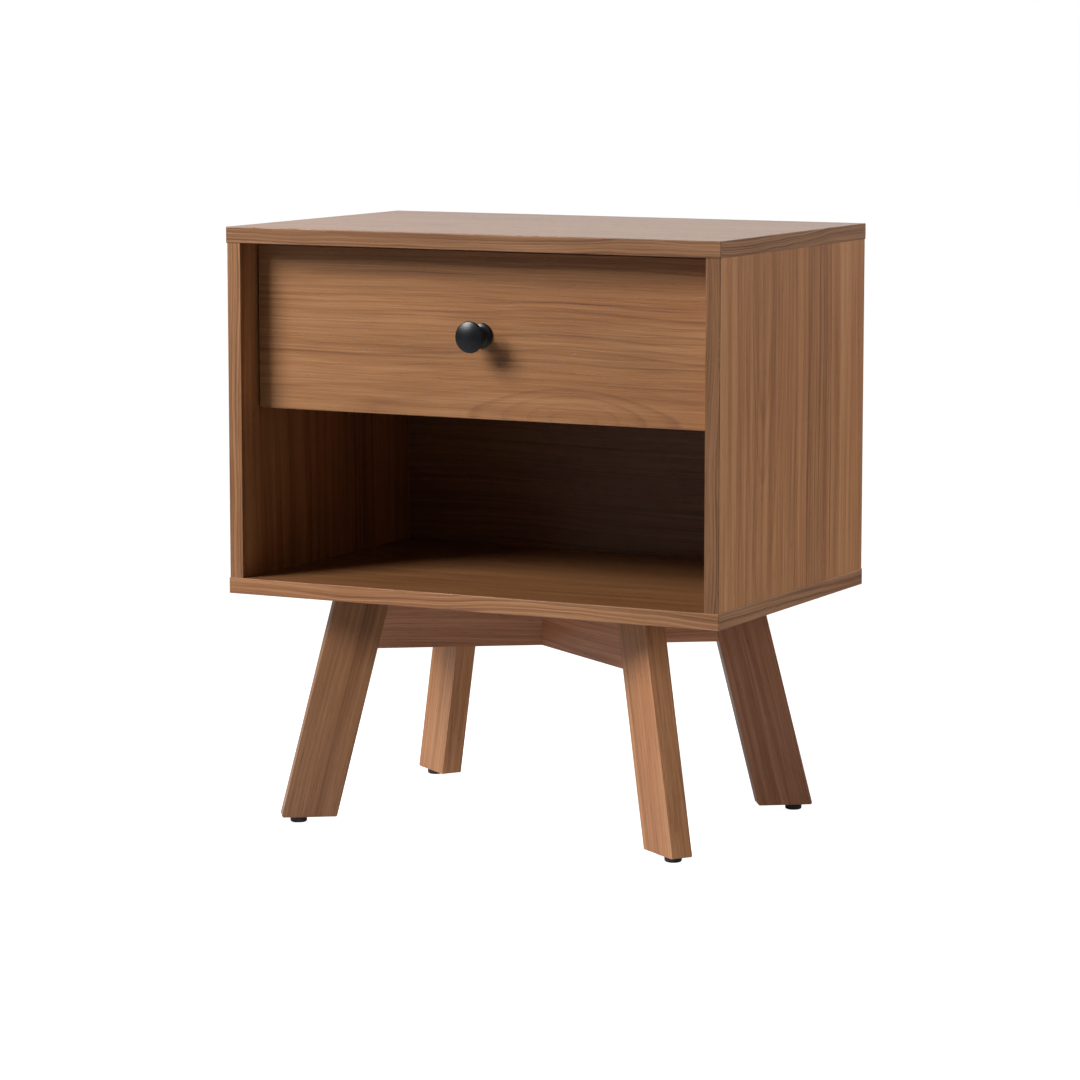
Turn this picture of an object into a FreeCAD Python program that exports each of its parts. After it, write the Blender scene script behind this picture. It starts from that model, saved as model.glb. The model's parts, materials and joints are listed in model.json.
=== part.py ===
import FreeCAD, Part
import math
import os

# Nightstand: a veneered cabinet with one drawer over an open shelf, on two crossing splayed frames.
# Millimetres. +Z is up, the front faces -Y, the origin is on the floor under the cabinet's middle.

# ---- Cabinet ------------------------------------------------------------------------------------
cabinet_width = 540.0
cabinet_depth = 348.0
cabinet_height = 367.0
panel_thickness = 16.0
side_inset = 0.8            # how far the side panels stand in from the top and bottom panels' edges
edge_strip = 1.0            # thickness of the veneer strips on the panels' edges
back_thickness = 6.0
back_rebate_depth = 8.0     # how far the back panel reaches into the panels around it
back_gap = 0.4              # clearance of the back panel in its rebate, each side

# ---- Base ---------------------------------------------------------------------------------------
leg_height = 233.0          # floor to the cabinet's underside, glides included
frame_angle = 34.5          # direction of each crossing frame from the cabinet's width
board_thickness = 22.0      # rails and legs
rail_height = 56.0
leg_width_top = 55.0        # measured level, along the frame
leg_width_foot = 56.0
leg_reach_top = 215.0       # centre of the base to the leg's outer edge, at the top
leg_reach_foot = 272.0      # the same, at the foot
leg_corner_radius = 2.0
lap_gap = 0.15              # clearance of the half-lap, each side

# ---- Glides -------------------------------------------------------------------------------------
glide_diameter = 17.0
glide_height = 6.0
glide_setback = 18.0        # glide's centre from the foot's outer corner, along the frame
glide_nail_diameter = 2.4
glide_nail_length = 18.0

# ---- Drawer -------------------------------------------------------------------------------------
front_setback = 32.0        # drawer front behind the cabinet's front edge
shelf_opening = 169.0       # clear height between the bottom panel and the drawer front
front_side_gap = 2.0
front_top_gap = 2.5
box_height = 118.0
box_rise = 16.0             # drawer box above the drawer front's lower edge
box_depth = 262.0
box_board = 12.0
box_bottom_thickness = 4.0
box_groove_rise = 10.0      # drawer bottom above the lower edge of the box
box_groove_depth = 6.0
box_bottom_gap = 0.2

# ---- Drawer slides ------------------------------------------------------------------------------
slide_length = 250.0
slide_height = 35.0
slide_thickness = 12.7
slide_front_gap = 3.0       # slide's front end behind the back of the drawer front
slide_sheet = 1.2
ball_diameter = 3.2
ball_clearance = 0.1
raceway_gap = 2.8           # between the flanges that hold one row of balls
cage_sheet = 0.6
cage_strip = 0.8
cage_web_gap = 0.4          # cage web to the rail webs beside it
cage_end_gap = 1.5          # cage's end to the rail's end at full travel
ball_row = 8                # balls in one row
drawer_travel = 250.0

# ---- Knob ---------------------------------------------------------------------------------------
knob_flange_diameter = 25.0
knob_neck_diameter = 13.0
knob_head_diameter = 31.0
knob_rim_height = 24.3      # drawer face to the middle of the head's rim
knob_height = 28.5

# ---- Hardware -----------------------------------------------------------------------------------
dowel_diameter = 8.0
dowel_length = 30.0
dowel_hole_slack = 0.05     # radius
dowel_end_slack = 1.0
screw_hole_slack = 0.05     # radius
cam_diameter = 15.0
cam_depth = 12.5
cam_centre = 34.0           # from the side panel's upper end
cam_bolt_diameter = 5.0
cam_bolt_head = 7.0
cam_bolt_anchor = 11.0      # reach of the bolt into the top panel
joint_inset = 50.0          # cam and long screw positions from the panel's front and rear edges
dowel_offset = 32.0         # dowel from its neighbouring cam or screw
long_screw_diameter = 5.0
long_screw_head = 9.0
long_screw_length = 50.0
small_screw_diameter = 3.5
small_screw_head = 7.0
base_screw_diameter = 6.0
base_screw_head = 12.0
insert_diameter = 10.0
insert_length = 11.0
back_screw_diameter = 2.5
back_screw_head = 5.0
back_screw_length = 16.0
back_screw_spread = 0.36    # outer screws from the middle, as a share of the cabinet's width
back_screw_shares = (0.2, 0.5, 0.8)     # screws up each side, as shares of the opening's height
slide_screw_shares = (0.10, 0.50, 0.90)
slide_cabinet_screw_length = 12.0
slide_drawer_screw_length = 11.0
base_screw_reach = 95.0
base_screw_grip = 26.0      # wood between the screw's head and the bottom panel
centre_screw_grip = 42.0
leg_dowel_shares = (0.27, 0.73)         # leg dowels, as shares of the joint's height
front_screw_spacing = 300.0
front_screw_rise = 30.0     # above and below the knob
front_screw_length = 25.0
front_screw_diameter = 4.0
front_screw_head = 8.5
knob_screw_diameter = 4.0
knob_screw_head = 9.0
knob_screw_grip = 12.0      # reach of the screw into the knob
box_screw_length = 32.0
box_screw_rise = 38.0       # above and below the slide
hole_end_slack = 0.5        # how much deeper a blind hole is than what goes in it

# ---- Derived levels and faces -------------------------------------------------------------------
z_under = leg_height
z_floor = z_under + panel_thickness                 # top of the bottom panel
z_top = z_under + cabinet_height
z_ceiling = z_top - panel_thickness                 # underside of the top panel
x_outer = cabinet_width / 2.0
x_side_out = x_outer - side_inset
x_side_in = x_outer - panel_thickness               # inner face of a side panel
y_front = -cabinet_depth / 2.0
y_rear = cabinet_depth / 2.0
y_back_face = y_rear - back_thickness

z_front_low = z_floor + shelf_opening
z_front_high = z_ceiling - front_top_gap
x_front = x_side_in - front_side_gap
y_drawer_face = y_front + front_setback
y_drawer_back = y_drawer_face + panel_thickness
z_knob = (z_front_low + z_front_high) / 2.0

x_box = x_side_in - slide_thickness
z_box_low = z_front_low + box_rise
z_box_high = z_box_low + box_height
y_box_front = y_drawer_back
y_box_rear = y_box_front + box_depth
z_slide = (z_box_low + z_box_high) / 2.0
y_slide_front = y_drawer_back + slide_front_gap
y_slide_rear = y_slide_front + slide_length

frame_turn = math.radians(frame_angle)
board_half = board_thickness / 2.0
z_rail_low = z_under - rail_height
z_foot = glide_height
foot_drop = z_under - z_foot
dowel_reach_down = panel_thickness * 0.62    # part of the dowel in the top or bottom panel


# ---- Small helpers ------------------------------------------------------------------------------
def vec(x, y, z):
    return FreeCAD.Vector(x, y, z)


def block(x0, x1, y0, y1, z0, z1):
    return Part.makeBox(x1 - x0, y1 - y0, z1 - z0, vec(x0, y0, z0))


def rod(radius, length, start, direction):
    return Part.makeCylinder(radius, length, start, direction)


def taper(radius_start, radius_end, length, start, direction):
    return Part.makeCone(radius_start, radius_end, length, start, direction)


def unit(direction):
    result = FreeCAD.Vector(direction)
    result.normalize()
    return result


def mirrored(shape):
    return shape.mirror(vec(0, 0, 0), vec(1, 0, 0))


def one(shape):
    cleaned = shape.removeSplitter()
    if len(cleaned.Solids) != 1:
        raise ValueError("expected one solid, found %d" % len(cleaned.Solids))
    return cleaned.Solids[0]


def bored(shape, tools):
    result = shape
    for tool in tools:
        result = result.cut(tool)
    return one(result)


def save(name, shapes):
    solids = []
    for shape in shapes:
        solids.extend(shape.Solids)
    for solid in solids:
        if not solid.isValid() or solid.Volume <= 0:
            raise ValueError("bad solid in " + name)
    whole = solids[0] if len(solids) == 1 else Part.makeCompound(solids)
    whole.exportStep("parts/" + name + ".step")


def softened(solid, edges, radius):
    return one(solid.makeFillet(radius, edges)) if edges else solid


# ---- Screws, bolts, dowels ----------------------------------------------------------------------
def flush_screw(start, direction, diameter, head, length):
    """Countersunk screw: its flat head lies at start and it runs along direction."""
    along = unit(direction)
    head_depth = (head - diameter) / 2.0
    point = diameter * 0.8
    shape = taper(head / 2.0, diameter / 2.0, head_depth, start, along)
    shank = rod(diameter / 2.0, length - head_depth - point, start + along * head_depth, along)
    tip = taper(diameter / 2.0, diameter * 0.08, point, start + along * (length - point), along)
    recess = rod(diameter * 0.3, head_depth, start, along)
    return one(shape.fuse([shank, tip]).cut(recess))


def flush_screw_hole(start, direction, diameter, head, length):
    """Hole for a countersunk screw: the seat touches the head, the bore clears the shank."""
    along = unit(direction)
    head_depth = (head - diameter) / 2.0
    seat = taper(head / 2.0, diameter / 2.0, head_depth, start, along)
    depth = length - head_depth + hole_end_slack
    bore = rod(diameter / 2.0 + screw_hole_slack, depth, start + along * head_depth, along)
    return seat.fuse(bore)


def domed_screw(start, direction, diameter, head, length):
    """Machine screw with a low round head that sits on the face at start."""
    along = unit(direction)
    head_height = diameter * 0.55
    cap = taper(head / 2.0, head * 0.3, head_height, start, along * -1)
    shank = rod(diameter / 2.0, length, start, along)
    socket = rod(diameter * 0.32, head_height * 0.7, start - along * head_height, along)
    return one(cap.fuse(shank).cut(socket))


def dowel(middle, direction):
    """Beech dowel with chamfered ends, centred on middle."""
    along = unit(direction)
    radius = dowel_diameter / 2.0
    chamfer = 1.0
    start = middle - along * (dowel_length / 2.0)
    body = rod(radius, dowel_length - 2.0 * chamfer, start + along * chamfer, along)
    nose = taper(radius - chamfer, radius, chamfer, start, along)
    tail = taper(radius, radius - chamfer, chamfer, start + along * (dowel_length - chamfer), along)
    return one(body.fuse([nose, tail]))


def dowel_hole(middle, direction):
    along = unit(direction)
    reach = dowel_length / 2.0 + dowel_end_slack
    return rod(dowel_diameter / 2.0 + dowel_hole_slack, 2.0 * reach, middle - along * reach, along)


# ---- Joint positions ----------------------------------------------------------------------------
def carcass_rows():
    """Y positions of the fastener and its dowel near the front and near the rear."""
    front = y_front + joint_inset
    rear = y_rear - joint_inset
    return [(front, front + dowel_offset), (rear, rear - dowel_offset)]


def side_middle_x():
    return (x_side_in + x_side_out) / 2.0


def carcass_dowel_places():
    places = []
    for sign in (-1, 1):
        for row in carcass_rows():
            x = sign * side_middle_x()
            shift = dowel_length / 2.0 - dowel_reach_down
            places.append(vec(x, row[1], z_ceiling - shift))
            places.append(vec(x, row[1], z_floor + shift))
    return places


def cam_places():
    places = []
    for sign in (-1, 1):
        for row in carcass_rows():
            places.append((sign, vec(sign * side_middle_x(), row[0], z_ceiling - cam_centre)))
    return places


def long_screw_places():
    places = []
    for sign in (-1, 1):
        for row in carcass_rows():
            places.append(vec(sign * side_middle_x(), row[0], z_under))
    return places


def back_screw_places():
    """Screws near the edge of the back panel, into the panels around it."""
    edge = back_rebate_depth / 2.0
    places = []
    for x in (-back_screw_spread, 0.0, back_screw_spread):
        places.append(vec(x * cabinet_width, y_rear, z_ceiling + edge))
        places.append(vec(x * cabinet_width, y_rear, z_floor - edge))
    for share in back_screw_shares:
        z = z_floor + share * (z_ceiling - z_floor)
        places.append(vec(x_side_in + edge, y_rear, z))
        places.append(vec(-x_side_in - edge, y_rear, z))
    return places


def back_screw(start):
    return flush_screw(start, vec(0, -1, 0), back_screw_diameter, back_screw_head, back_screw_length)


def back_screw_hole(start):
    return flush_screw_hole(start, vec(0, -1, 0), back_screw_diameter, back_screw_head, back_screw_length)


def back_space():
    """The rebate that the back panel lies in, cut from the panels around it."""
    reach = back_rebate_depth + back_gap
    return block(-x_side_in - reach, x_side_in + reach, y_back_face, y_rear + 1.0,
                 z_floor - reach, z_ceiling + reach)


def carcass_cuts():
    """Every hole shared between the four cabinet panels."""
    cuts = [back_space()]
    for place in carcass_dowel_places():
        cuts.append(dowel_hole(place, vec(0, 0, 1)))
    for place in back_screw_places():
        cuts.append(back_screw_hole(place))
    for sign, place in cam_places():
        cuts.append(cam_bore(sign, place))
        cuts.append(cam_bolt_bore(place))
    for place in long_screw_places():
        cuts.append(flush_screw_hole(place, vec(0, 0, 1), long_screw_diameter, long_screw_head,
                                     long_screw_length))
    return cuts


# ---- Cam locks ----------------------------------------------------------------------------------
def cam_bore(sign, place):
    start = vec(sign * x_side_in, place.y, place.z)
    return rod(cam_diameter / 2.0 + screw_hole_slack, cam_depth, start, vec(sign, 0, 0))


def cam_bolt_bore(place):
    bottom = place.z - cam_bolt_head / 2.0
    lower = rod(cam_bolt_head / 2.0 + 0.4, z_ceiling - bottom, vec(place.x, place.y, bottom), vec(0, 0, 1))
    upper = rod(cam_bolt_diameter / 2.0 + screw_hole_slack, cam_bolt_anchor + 0.5,
                vec(place.x, place.y, z_ceiling - 0.01), vec(0, 0, 1))
    return lower.fuse(upper)


def cam_lock(sign, place):
    """Round cam with a cross slot on its face and a pocket that holds the bolt's head."""
    face = vec(sign * x_side_in, place.y, place.z)
    body = rod(cam_diameter / 2.0, cam_depth, face, vec(sign, 0, 0))
    slot = block(-0.9, 0.9, -5.0, 5.0, -1.0, 1.0)
    slot.rotate(vec(0, 0, 0), vec(0, 1, 0), 90)
    slot.translate(face + vec(sign * 0.4, 0, 0))
    cross = slot.copy()
    cross.rotate(face, vec(1, 0, 0), 90)
    pocket = rod(cam_bolt_head / 2.0 + 0.3, cam_diameter, place - vec(0, 0, cam_bolt_head / 2.0 + 0.3),
                 vec(0, 0, 1))
    return bored(body, [slot, cross, pocket])


def cam_bolt(place):
    """Bolt screwed into the top panel, with a collar and a round head inside the cam."""
    length = z_ceiling - place.z
    radius = cam_bolt_diameter / 2.0
    stem = rod(radius * 0.7, length + 0.2, place, vec(0, 0, 1))
    head = rod(cam_bolt_head / 2.0, 3.0, place - vec(0, 0, cam_bolt_head / 2.0), vec(0, 0, 1))
    neck = rod(radius * 0.7, cam_bolt_head / 2.0, place - vec(0, 0, cam_bolt_head / 2.0), vec(0, 0, 1))
    collar = rod(cam_bolt_head / 2.0, 2.0, vec(place.x, place.y, z_ceiling - 2.0), vec(0, 0, 1))
    anchor = rod(radius, cam_bolt_anchor, vec(place.x, place.y, z_ceiling), vec(0, 0, 1))
    return one(stem.fuse([head, neck, collar, anchor]))


# ---- Cabinet panels -----------------------------------------------------------------------------
def drilled(shape, tools):
    """Cut the tools that reach the shape."""
    near = [tool for tool in tools if tool.BoundBox.intersect(shape.BoundBox)]
    return bored(shape, near)


def slide_cabinet_screw_places():
    places = []
    for sign in (-1, 1):
        for share in slide_screw_shares:
            x = sign * (x_side_in - slide_sheet)
            places.append((sign, vec(x, y_slide_front + share * slide_length, z_slide)))
    return places


def slide_drawer_screw_places():
    places = []
    for sign in (-1, 1):
        for share in slide_screw_shares:
            x = sign * (x_box + slide_sheet)
            places.append((sign, vec(x, y_slide_front + share * slide_length, z_slide)))
    return places


def slide_cabinet_screw_holes():
    holes = []
    for sign, place in slide_cabinet_screw_places():
        holes.append(flush_screw_hole(place, vec(sign, 0, 0), small_screw_diameter, small_screw_head,
                                      slide_cabinet_screw_length))
    return holes


def slide_drawer_screw_holes():
    holes = []
    for sign, place in slide_drawer_screw_places():
        holes.append(flush_screw_hole(place, vec(-sign, 0, 0), small_screw_diameter, small_screw_head,
                                      slide_drawer_screw_length))
    return holes


def level_panel_core(z_low):
    """The board of the top or bottom panel, inside its edge strips."""
    x = x_outer - edge_strip
    return block(-x, x, y_front + edge_strip, y_rear, z_low, z_low + panel_thickness)


def level_panel_strips(z_low):
    z_high = z_low + panel_thickness
    front = block(-x_outer, x_outer, y_front, y_front + edge_strip, z_low, z_high)
    right = block(x_outer - edge_strip, x_outer, y_front + edge_strip, y_rear, z_low, z_high)
    return [front, right, mirrored(right)]


def make_top_panel(cuts):
    return drilled(level_panel_core(z_ceiling), cuts)


def make_bottom_panel(cuts):
    holes = list(cuts)
    for turn, reach in base_screw_places():
        place = frame_point(turn, reach, 0.0, z_under)
        holes.append(rod(insert_diameter / 2.0 + screw_hole_slack, insert_length, place, vec(0, 0, 1)))
    return drilled(level_panel_core(z_under), holes)


def make_side_panel(sign, cuts):
    y_core = y_front + side_inset + edge_strip
    core = block(x_side_in, x_side_out, y_core, y_rear, z_floor, z_ceiling)
    if sign < 0:
        core = mirrored(core)
    return drilled(core, cuts + slide_cabinet_screw_holes())


def make_side_strip(sign):
    y = y_front + side_inset
    strip = block(x_side_in, x_side_out, y, y + edge_strip, z_floor, z_ceiling)
    return strip if sign > 0 else mirrored(strip)


def make_back_panel():
    x = x_side_in + back_rebate_depth
    z_low = z_floor - back_rebate_depth
    z_high = z_ceiling + back_rebate_depth
    board = block(-x, x, y_back_face, y_rear, z_low, z_high)
    return drilled(board, [back_screw_hole(place) for place in back_screw_places()])


# ---- Base ---------------------------------------------------------------------------------------
def frame_point(turn, reach, across, z):
    x = reach * math.cos(turn) - across * math.sin(turn)
    y = reach * math.sin(turn) + across * math.cos(turn)
    return vec(x, y, z)


def frame_direction(turn, reach, z):
    return unit(vec(reach * math.cos(turn), reach * math.sin(turn), z))


def board(turn, outline):
    """A flat board standing in a frame's plane; outline is a list of (reach, z) corners."""
    corners = [frame_point(turn, reach, -board_half, z) for reach, z in outline]
    face = Part.Face(Part.makePolygon(corners + corners[:1]))
    across = vec(-math.sin(turn), math.cos(turn), 0) * board_thickness
    return one(face.extrude(across))


def joint_reach(z):
    """Reach of the line where a leg meets its rail, at height z."""
    top = leg_reach_top - leg_width_top
    foot = leg_reach_foot - leg_width_foot
    return top + (foot - top) * (z_under - z) / foot_drop


def leg_outline():
    return [
        (joint_reach(z_under), z_under),
        (leg_reach_top, z_under),
        (leg_reach_foot, z_foot),
        (joint_reach(z_foot), z_foot),
    ]


def rail_outline():
    low = joint_reach(z_rail_low)
    high = joint_reach(z_under)
    return [(-high, z_under), (high, z_under), (low, z_rail_low), (-low, z_rail_low)]


def leg_dowel_places():
    """Middle and direction, as (reach, z) pairs, of the dowels between a leg and its rail."""
    across = joint_reach(z_rail_low) - joint_reach(z_under)
    size = math.hypot(across, rail_height)
    direction = (rail_height / size, across / size)
    places = []
    for share in leg_dowel_shares:
        places.append((joint_reach(z_under) + share * across, z_under - share * rail_height))
    return places, direction


def leg_dowels(turn, side):
    places, direction = leg_dowel_places()
    result = []
    for reach, z in places:
        middle = frame_point(turn, side * reach, 0.0, z)
        result.append((middle, frame_direction(turn, side * direction[0], direction[1])))
    return result


def glide_reach():
    return leg_reach_foot - glide_setback


def make_leg(turn, side):
    outline = [(side * reach, z) for reach, z in leg_outline()]
    leg = board(turn, outline)
    low_edges = [edge for edge in leg.Edges if edge.BoundBox.ZMax < z_foot + leg_corner_radius]
    foot_edges = [edge for edge in low_edges if across_frame(edge, turn)]
    leg = softened(leg, foot_edges, leg_corner_radius)
    tools = [dowel_hole(middle, direction) for middle, direction in leg_dowels(turn, side)]
    nail = frame_point(turn, side * glide_reach(), 0.0, z_foot)
    depth = glide_nail_length + hole_end_slack
    tools.append(rod(glide_nail_diameter / 2.0 + screw_hole_slack, depth, nail, vec(0, 0, 1)))
    return bored(leg, tools)


def across_frame(edge, turn):
    """True for an edge that runs straight through the board."""
    start = edge.Vertexes[0].Point
    end = edge.Vertexes[-1].Point
    run = end.sub(start)
    return abs(abs(run.dot(vec(-math.sin(turn), math.cos(turn), 0))) - board_thickness) < 0.01


def base_screw_places():
    places = [(frame_turn, 0.0)]
    for turn in (frame_turn, -frame_turn):
        places.append((turn, base_screw_reach))
        places.append((turn, -base_screw_reach))
    return places


def grip_at(reach):
    return base_screw_grip if reach else centre_screw_grip


def base_screw_bore(turn, reach):
    place = frame_point(turn, reach, 0.0, z_rail_low - 1.0)
    seat = z_under - grip_at(reach)
    well = rod(base_screw_head / 2.0 + 0.5, seat - place.z, place, vec(0, 0, 1))
    bore = rod(base_screw_diameter / 2.0 + 0.25, rail_height + 2.0, place, vec(0, 0, 1))
    return well.fuse(bore)


def lap_notch(turn_of_other, upper):
    """Space for the other rail: above the middle for one rail, below it for the other."""
    half = board_half + lap_gap
    long = board_thickness * 4.0
    middle = z_under - rail_height / 2.0
    low = middle if upper else z_rail_low - 1.0
    high = z_under + 1.0 if upper else middle
    notch = block(-long, long, -half, half, low, high)
    notch.rotate(vec(0, 0, 0), vec(0, 0, 1), math.degrees(turn_of_other))
    return notch


def make_cross_rail(turn, upper):
    rail = board(turn, rail_outline())
    tools = [lap_notch(-turn, upper)]
    for side in (-1, 1):
        tools += [dowel_hole(middle, direction) for middle, direction in leg_dowels(turn, side)]
    for screw_turn, reach in base_screw_places():
        if screw_turn == turn or reach == 0.0:
            tools.append(base_screw_bore(screw_turn, reach))
    return bored(rail, tools)


def make_base_screws():
    """Machine screws from below, each with a low round head in its well."""
    screws = []
    for turn, reach in base_screw_places():
        start = frame_point(turn, reach, 0.0, z_under - grip_at(reach))
        length = grip_at(reach) + insert_length - 1.0
        screws.append(domed_screw(start, vec(0, 0, 1), base_screw_diameter, base_screw_head, length))
    return screws


def make_inserts():
    inserts = []
    for turn, reach in base_screw_places():
        place = frame_point(turn, reach, 0.0, z_under)
        outside = rod(insert_diameter / 2.0, insert_length, place, vec(0, 0, 1))
        inside = rod(base_screw_diameter / 2.0 + screw_hole_slack, insert_length, place, vec(0, 0, 1))
        inserts.append(one(outside.cut(inside)))
    return inserts


def glide_centres():
    centres = []
    for turn in (frame_turn, -frame_turn):
        for side in (-1, 1):
            centres.append(frame_point(turn, side * glide_reach(), 0.0, 0.0))
    return centres


def make_glides():
    """Round plastic feet with a rounded lower edge and a blind hole for the nail."""
    glides = []
    for centre in glide_centres():
        body = rod(glide_diameter / 2.0, glide_height, centre, vec(0, 0, 1))
        lower = [edge for edge in body.Edges if edge.BoundBox.ZMax < 0.01]
        body = softened(body, lower, 2.0)
        hole_start = centre + vec(0, 0, glide_height / 2.0)
        hole = rod(glide_nail_diameter / 2.0 + screw_hole_slack, glide_height, hole_start, vec(0, 0, 1))
        glides.append(one(body.cut(hole)))
    return glides


def make_glide_nails():
    nails = []
    radius = glide_nail_diameter / 2.0
    point = radius * 2.0
    for centre in glide_centres():
        start = centre + vec(0, 0, glide_height / 2.0)
        shank = rod(radius, glide_height / 2.0 + glide_nail_length - point, start, vec(0, 0, 1))
        tip_start = centre + vec(0, 0, glide_height + glide_nail_length - point)
        tip = taper(radius, radius * 0.1, point, tip_start, vec(0, 0, 1))
        nails.append(one(shank.fuse(tip)))
    return nails


# ---- Drawer -------------------------------------------------------------------------------------
def front_screw_places():
    places = []
    y = y_box_front + box_board
    for sx in (-1, 1):
        for sz in (-1, 1):
            places.append(vec(sx * front_screw_spacing / 2.0, y, z_slide + sz * front_screw_rise))
    return places


def screw_bore(start, direction, diameter, length):
    """Straight bore for a screw, from just before its head to just past its end."""
    along = unit(direction)
    return rod(diameter / 2.0 + screw_hole_slack, length + 1.5, start - along, along)


def front_bores():
    bores = []
    for place in front_screw_places():
        bores.append(screw_bore(place, vec(0, -1, 0), front_screw_diameter, front_screw_length))
    bores.append(screw_bore(knob_screw_start(), vec(0, -1, 0), knob_screw_diameter, knob_screw_length()))
    return bores


def knob_screw_start():
    return vec(0, y_box_front + box_board, z_knob)


def knob_screw_length():
    return box_board + panel_thickness + knob_screw_grip


def make_drawer_front():
    x = x_front - edge_strip
    core = block(-x, x, y_drawer_face, y_drawer_back, z_front_low + edge_strip, z_front_high - edge_strip)
    return drilled(core, front_bores())


def make_drawer_front_strips():
    low = block(-x_front, x_front, y_drawer_face, y_drawer_back, z_front_low, z_front_low + edge_strip)
    high = block(-x_front, x_front, y_drawer_face, y_drawer_back, z_front_high - edge_strip, z_front_high)
    right = block(x_front - edge_strip, x_front, y_drawer_face, y_drawer_back,
                  z_front_low + edge_strip, z_front_high - edge_strip)
    return [low, high, right, mirrored(right)]


def box_groove():
    """Groove around the inside of the drawer box, for its bottom."""
    x = x_box - box_board + box_groove_depth
    z = z_box_low + box_groove_rise
    inset = box_board - box_groove_depth
    height = box_bottom_thickness + box_bottom_gap
    return block(-x, x, y_box_front + inset, y_box_rear - inset, z, z + height)


def box_screw_places():
    places = []
    for sign in (-1, 1):
        for y in (y_box_front + box_board / 2.0, y_box_rear - box_board / 2.0):
            for sz in (-1, 1):
                places.append((sign, vec(sign * x_box, y, z_slide + sz * box_screw_rise)))
    return places


def box_screw_holes():
    holes = []
    for sign, place in box_screw_places():
        holes.append(flush_screw_hole(place, vec(-sign, 0, 0), small_screw_diameter, small_screw_head,
                                      box_screw_length))
    return holes


def box_cuts():
    return [box_groove()] + box_screw_holes() + slide_drawer_screw_holes() + front_bores()


def make_box_side(sign):
    side = block(x_box - box_board, x_box, y_box_front, y_box_rear, z_box_low, z_box_high)
    if sign < 0:
        side = mirrored(side)
    return drilled(side, box_cuts())


def make_box_cross(y_low):
    x = x_box - box_board
    return drilled(block(-x, x, y_low, y_low + box_board, z_box_low, z_box_high), box_cuts())


def make_box_bottom():
    x = x_box - box_board + box_groove_depth - box_bottom_gap
    y_low = y_box_front + box_board - box_groove_depth + box_bottom_gap
    y_high = y_box_rear - box_board + box_groove_depth - box_bottom_gap
    z = z_box_low + box_groove_rise
    return block(-x, x, y_low, y_high, z, z + box_bottom_thickness)


def dome_middle(edge_radius, edge_height):
    """Middle of the crown's arc, whose centre lies on the knob's axis."""
    drop = knob_height - edge_height
    sphere = (edge_radius ** 2 + drop ** 2) / (2.0 * drop)
    half_angle = math.asin(edge_radius / sphere) / 2.0
    return vec(sphere * math.sin(half_angle), 0, knob_height - sphere * (1.0 - math.cos(half_angle)))


def make_knob():
    """Turned knob: flanged foot, waisted neck and a broad shallow head with a rounded rim."""
    flange = knob_flange_diameter / 2.0
    neck = knob_neck_diameter / 2.0
    head = knob_head_diameter / 2.0
    rim_low = vec(head - 0.8, 0, knob_rim_height - 1.4)
    rim_high = vec(head - 1.0, 0, knob_rim_height + 1.5)
    outline = [
        vec(0, 0, 0), vec(flange, 0, 0), vec(flange, 0, 1.2), vec(flange - 1.5, 0, 2.6),
        vec(neck + 1.5, 0, 5.0), vec(neck, 0, 8.0), vec(neck, 0, 14.5), vec(neck + 2.0, 0, 18.5),
        vec(head - 3.0, 0, knob_rim_height - 2.4), rim_low,
    ]
    lower = Part.makePolygon(outline)
    rim = Part.Arc(rim_low, vec(head, 0, knob_rim_height), rim_high)
    crown = Part.Arc(rim_high, dome_middle(rim_high.x, rim_high.z), vec(0, 0, knob_height))
    axis = Part.makeLine(vec(0, 0, knob_height), vec(0, 0, 0))
    wire = Part.Wire(lower.Edges + [rim.toShape(), crown.toShape(), axis])
    knob = Part.Face(wire).revolve(vec(0, 0, 0), vec(0, 0, 1), 360)
    knob.rotate(vec(0, 0, 0), vec(1, 0, 0), 90)
    knob.translate(vec(0, y_drawer_face, z_knob))
    bore = rod(knob_screw_diameter / 2.0 + screw_hole_slack, knob_screw_grip + hole_end_slack,
               vec(0, y_drawer_face, z_knob), vec(0, -1, 0))
    return one(knob.cut(bore))


# ---- Drawer slides ------------------------------------------------------------------------------
cage_start = drawer_travel / 4.0 + cage_end_gap
cage_length = slide_length - drawer_travel / 2.0 - 2.0 * cage_end_gap

# Distances u run from the side panel's inner face towards the drawer.
# Half heights h are measured from the slide's middle.
u_middle_web = slide_sheet + 2.0 * cage_web_gap + cage_sheet
u_inner_cage = u_middle_web + slide_sheet + cage_web_gap
u_drawer_flange = u_inner_cage + cage_sheet + cage_web_gap
h_outer = slide_height / 2.0
h_outer_row = h_outer - slide_sheet - raceway_gap / 2.0
h_middle = h_outer - slide_sheet - raceway_gap
h_inner_row = h_middle - slide_sheet - raceway_gap / 2.0
h_drawer_rail = h_middle - slide_sheet - raceway_gap
u_outer_row = u_middle_web + 4.0
u_inner_row = u_drawer_flange + 3.2
u_outer_tip = u_outer_row + 3.0
u_middle_tip = u_inner_row + 2.8


def slide_block(u0, u1, y0, y1, h0, h1):
    return block(x_side_in - u1, x_side_in - u0, y0, y1, z_slide + h0, z_slide + h1)


def channel(u_web, u_tip, half, y0, y1, sheet):
    """C-shaped section: a web at u_web and two flanges that reach to u_tip."""
    low = min(u_web, u_tip)
    high = max(u_web, u_tip)
    step = sheet if u_tip > u_web else -sheet
    web = slide_block(min(u_web, u_web + step), max(u_web, u_web + step), y0, y1, -half, half)
    upper = slide_block(low, high, y0, y1, half - sheet, half)
    lower = slide_block(low, high, y0, y1, -half, sheet - half)
    return one(web.fuse([upper, lower]))


def raceways(u, row, y0, y1):
    radius = ball_diameter / 2.0 + ball_clearance
    tools = []
    for side in (-1, 1):
        tools.append(rod(radius, y1 - y0, vec(x_side_in - u, y0, z_slide + side * row), vec(0, 1, 0)))
    return tools


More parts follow.
